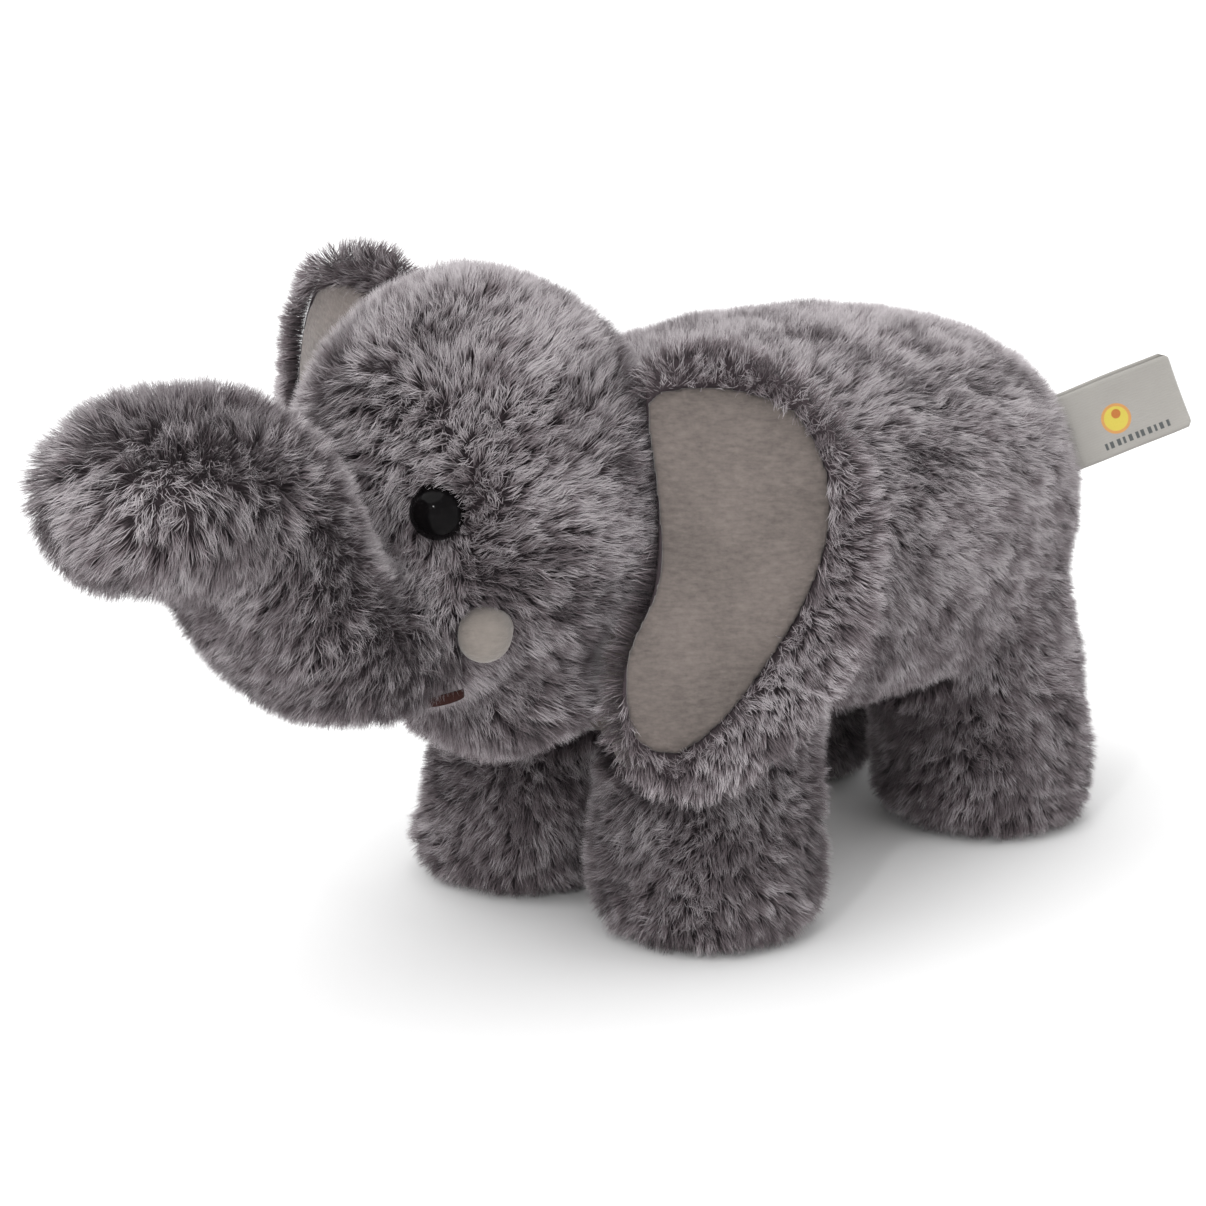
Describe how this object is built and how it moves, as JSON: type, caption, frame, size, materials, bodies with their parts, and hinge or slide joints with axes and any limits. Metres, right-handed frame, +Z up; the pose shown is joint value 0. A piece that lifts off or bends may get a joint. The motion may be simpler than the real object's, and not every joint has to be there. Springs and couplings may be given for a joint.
{
  "type": "stuffed elephant",
  "caption": "Standing plush elephant with a raised trunk, large floppy ears, plastic eyes and small tusks in frosted grey fur.",
  "frame": {"origin": "middle of the whole toy's footprint, on the surface that the soles stand on", "axes": "the elephant faces -Y, its own left side is +X, +Z is up"},
  "size_m": [0.1688, 0.3319, 0.1586],
  "materials": {
    "frosted_fur": "long-pile frosted plush, dark roots and light grey tips",
    "smooth_minky": "short-pile minky, warm light grey",
    "tusk_minky": "short-pile minky, off-white",
    "polyester_fibre": "loose polyester fibrefill",
    "black_plastic": "polished moulded safety eye",
    "white_plastic": "moulded lock washer",
    "mouth_thread": "red-brown polyester thread",
    "woven_satin": "cream satin label tape, plain"
  },
  "bodies": {
    "torso": {"side_panel_left": "frosted_fur", "side_panel_right": "frosted_fur", "belly_panel": "smooth_minky", "body_fill": "polyester_fibre", "head_side_left": "frosted_fur", "head_side_right": "frosted_fur", "head_gusset": "frosted_fur", "head_fill": "polyester_fibre", "trunk_side_left": "frosted_fur", "trunk_side_right": "frosted_fur", "trunk_gusset": "frosted_fur", "trunk_fill": "polyester_fibre", "chin_panel": "frosted_fur", "chin_fill": "polyester_fibre", "front_leg_left_cover": "frosted_fur", "front_leg_left_fill": "polyester_fibre", "front_leg_left_sole": "smooth_minky", "front_leg_right_cover": "frosted_fur", "front_leg_right_fill": "polyester_fibre", "front_leg_right_sole": "smooth_minky", "hind_leg_left_cover": "frosted_fur", "hind_leg_left_fill": "polyester_fibre", "hind_leg_left_sole": "smooth_minky", "hind_leg_right_cover": "frosted_fur", "hind_leg_right_fill": "polyester_fibre", "hind_leg_right_sole": "smooth_minky", "eye_left": "black_plastic", "eye_washer_left": "white_plastic", "tusk_cover_left": "tusk_minky", "tusk_fill_left": "polyester_fibre", "mouth_stitch_left": "mouth_thread", "eye_right": "black_plastic", "eye_washer_right": "white_plastic", "tusk_cover_right": "tusk_minky", "tusk_fill_right": "polyester_fibre", "mouth_stitch_right": "mouth_thread"},
    "left_ear": {"ear_back_left": "frosted_fur", "ear_lining_left": "smooth_minky"},
    "right_ear": {"ear_back_right": "frosted_fur", "ear_lining_right": "smooth_minky"},
    "tail": {"tail": "frosted_fur"},
    "label": {"sewn_label": "woven_satin"}
  },
  "joints": [
    {"name": "left_ear_flop", "type": "hinge", "parent": "torso", "child": "left_ear", "pos_m": [0.04604, -0.04085, 0.098], "axis": [-0.0624, 0.0208, 0.9978], "range_deg": [-60, 2], "stiffness_Nm_per_rad": 0.02},
    {"name": "right_ear_flop", "type": "hinge", "parent": "torso", "child": "right_ear", "pos_m": [-0.03196, -0.04085, 0.1104], "axis": [0.0624, 0.0208, 0.9978], "range_deg": [-30, 15], "stiffness_Nm_per_rad": 0.02},
    {"name": "tail_swing", "type": "hinge", "parent": "torso", "child": "tail", "pos_m": [0.00704, 0.15365, 0.106], "axis": [1, 0, 0], "range_deg": [0, 80]},
    {"name": "label_flex", "type": "hinge", "parent": "torso", "child": "label", "pos_m": [0.05079, 0.1344, 0.10277], "axis": [-0.3179, -0.2179, 0.9227], "range_deg": [-45, 45], "stiffness_Nm_per_rad": 0.004}
  ]
}
